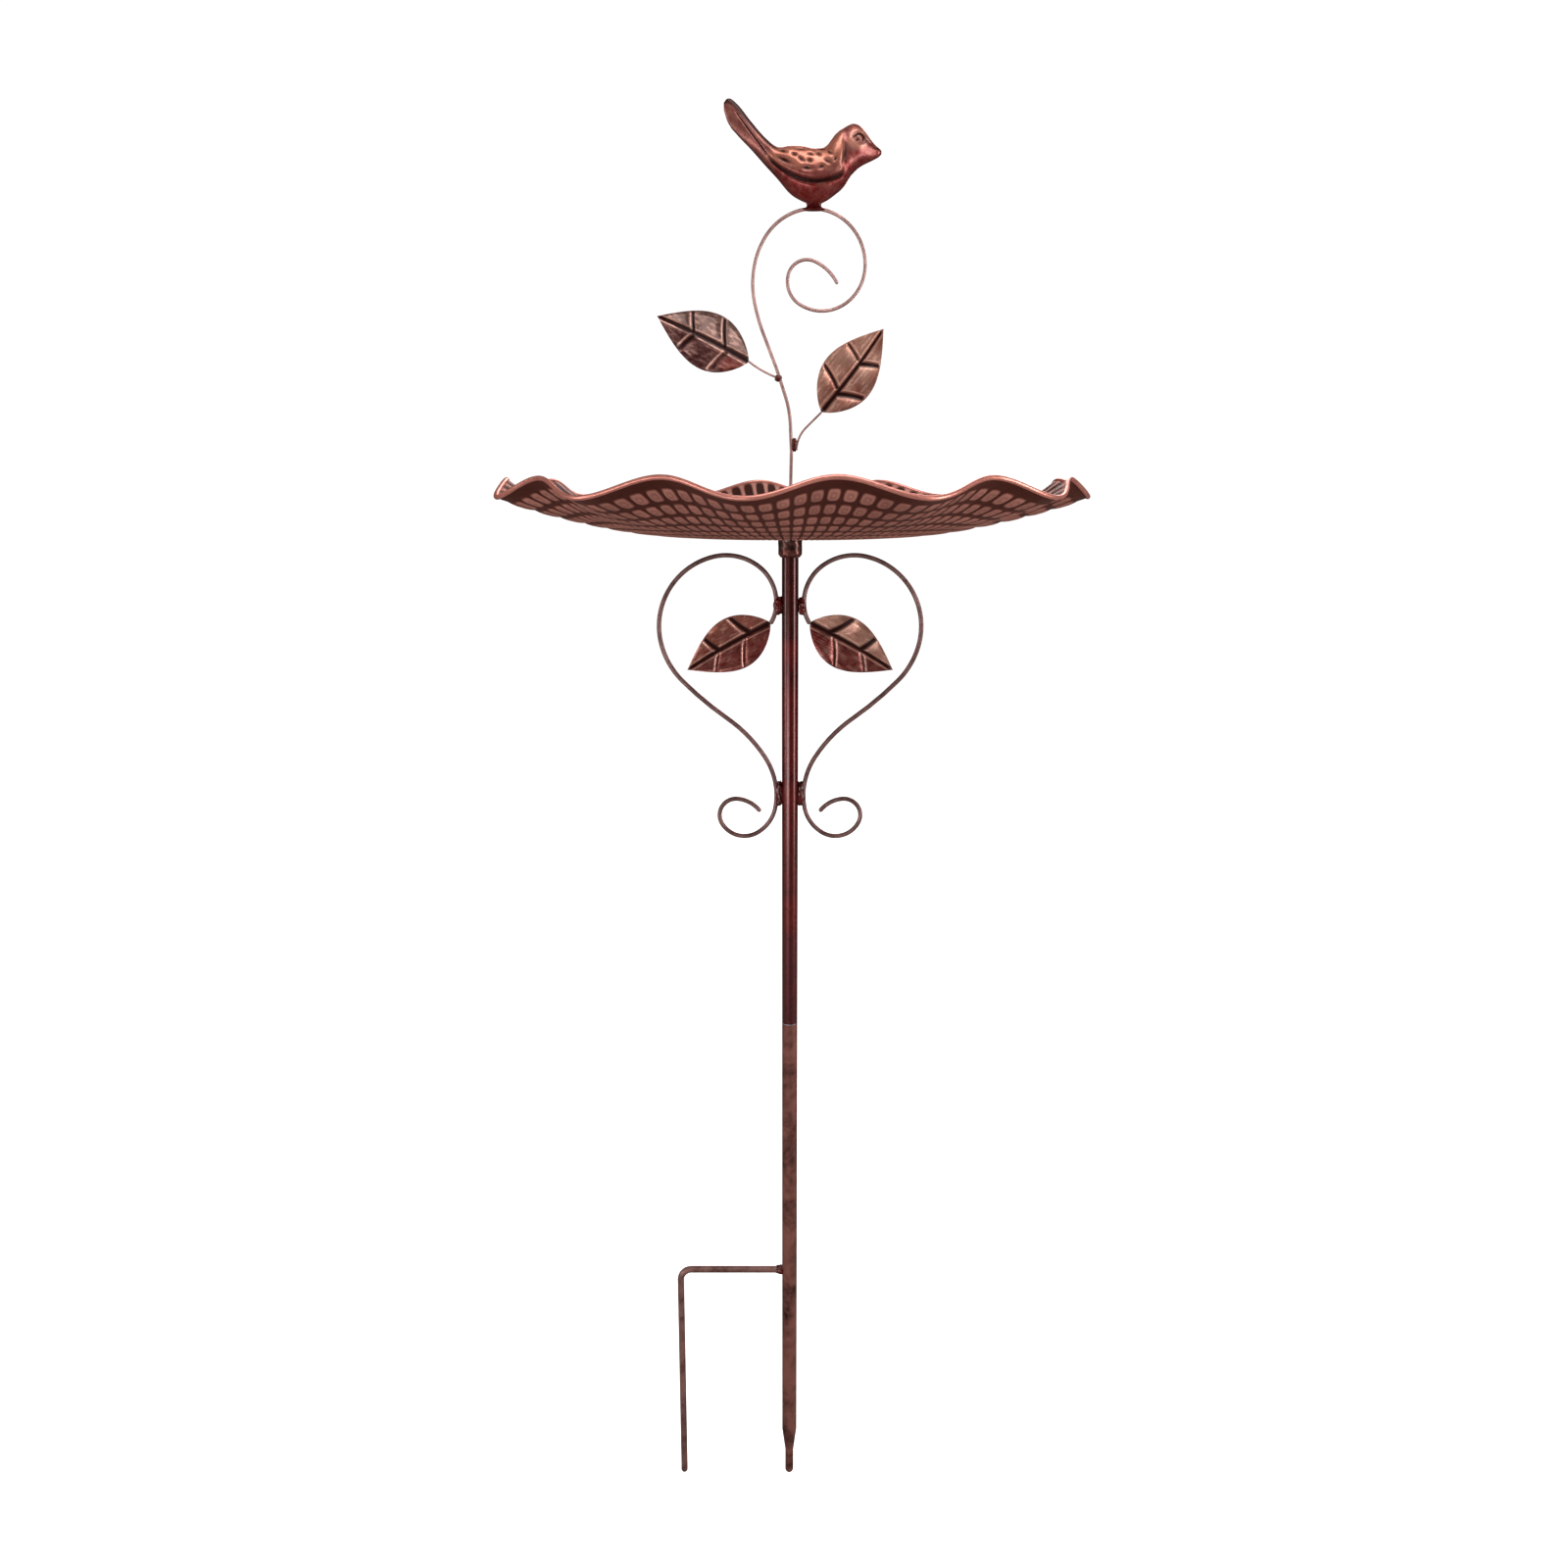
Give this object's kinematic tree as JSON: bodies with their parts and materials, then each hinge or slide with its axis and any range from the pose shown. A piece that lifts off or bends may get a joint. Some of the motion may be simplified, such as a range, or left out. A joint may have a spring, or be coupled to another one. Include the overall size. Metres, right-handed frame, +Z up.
{
  "type": "bird bath",
  "caption": "Garden stake bird bath: a shallow wavy embossed copper dish on a slim two-part pole with a ground prong, wire scrolls, leaves and a small bird.",
  "frame": {"origin": "on the pole's axis at ground level, 150 mm above the stake's point", "axes": "+Z up along the pole, +X to the right seen from the front, with the ground prong towards -X and the bird facing +X; the front is -Y"},
  "size_m": [0.345, 0.345, 0.8875],
  "materials": {
    "lower_tube": "matte antique brown",
    "upper_tube": "glossy antique red-brown",
    "weld": "rough, painted over",
    "bare_steel": "zinc plated",
    "scroll_wire": "satin antique copper",
    "stem_wire": "satin antique copper",
    "red_leaf": "brushed antique copper with dark veins",
    "gold_leaf": "brushed gold copper with dark veins",
    "pewter_leaf": "brushed pewter brown with dark veins",
    "dish_copper": "embossed antique copper, dark in its grooves",
    "bird_copper": "antique copper, dark in its feather marks",
    "rubber": "matte black"
  },
  "bodies": {
    "stake": {"lower_pole": "lower_tube", "ground_prong": "lower_tube", "prong_weld": "weld"},
    "spigot": {"pole_spigot": "bare_steel"},
    "upper_pole": {"upper_pole": "upper_tube", "pole_stud": "bare_steel", "left_scroll": "scroll_wire", "right_scroll": "scroll_wire", "upper_left_weld": "weld", "upper_right_weld": "weld", "lower_left_weld": "weld", "lower_right_weld": "weld", "left_leaf": "red_leaf", "right_leaf": "red_leaf"},
    "stud_washer": {"stud_washer": "bare_steel"},
    "dish": {"bowl_socket": "upper_tube", "socket_weld": "weld", "bowl": "dish_copper"},
    "seal": {"seal_washer": "rubber"},
    "ornament": {"ornament_stud": "bare_steel", "ornament_stem": "stem_wire", "left_stalk": "stem_wire", "right_stalk": "stem_wire", "stalk_welds": "weld", "upper_left_leaf": "pewter_leaf", "upper_right_leaf": "gold_leaf", "bird_weld": "weld", "bird_front_shell": "bird_copper", "bird_back_shell": "bird_copper"}
  },
  "joints": [
    {"name": "pole_swivel", "type": "hinge", "parent": "stake", "child": "spigot", "pos_m": [0, 0, 0.1887], "axis": [0, 0, 1], "continuous": true},
    {"name": "pole_lift", "type": "slide", "parent": "spigot", "child": "upper_pole", "axis": [0, 0, 1], "range_m": [0, 0.06]},
    {"name": "dish_turn", "type": "hinge", "parent": "upper_pole", "child": "stud_washer", "pos_m": [0, 0, 0.4898], "axis": [0, 0, 1], "range_deg": [0, 1440]},
    {"name": "dish_rise", "type": "slide", "parent": "stud_washer", "child": "dish", "axis": [0, 0, 1], "range_m": [0, 0.0041]},
    {"name": "ornament_turn", "type": "hinge", "parent": "dish", "child": "seal", "pos_m": [0, 0, 0.5], "axis": [0, 0, 1], "range_deg": [0, 1080]},
    {"name": "ornament_rise", "type": "slide", "parent": "seal", "child": "ornament", "axis": [0, 0, 1], "range_m": [0, 0.0031]}
  ],
  "couplings": [
    {"joint": "dish_rise", "follows": "dish_turn", "m_per_rad": 0.00015915},
    {"joint": "ornament_rise", "follows": "ornament_turn", "m_per_rad": 0.00015915}
  ]
}
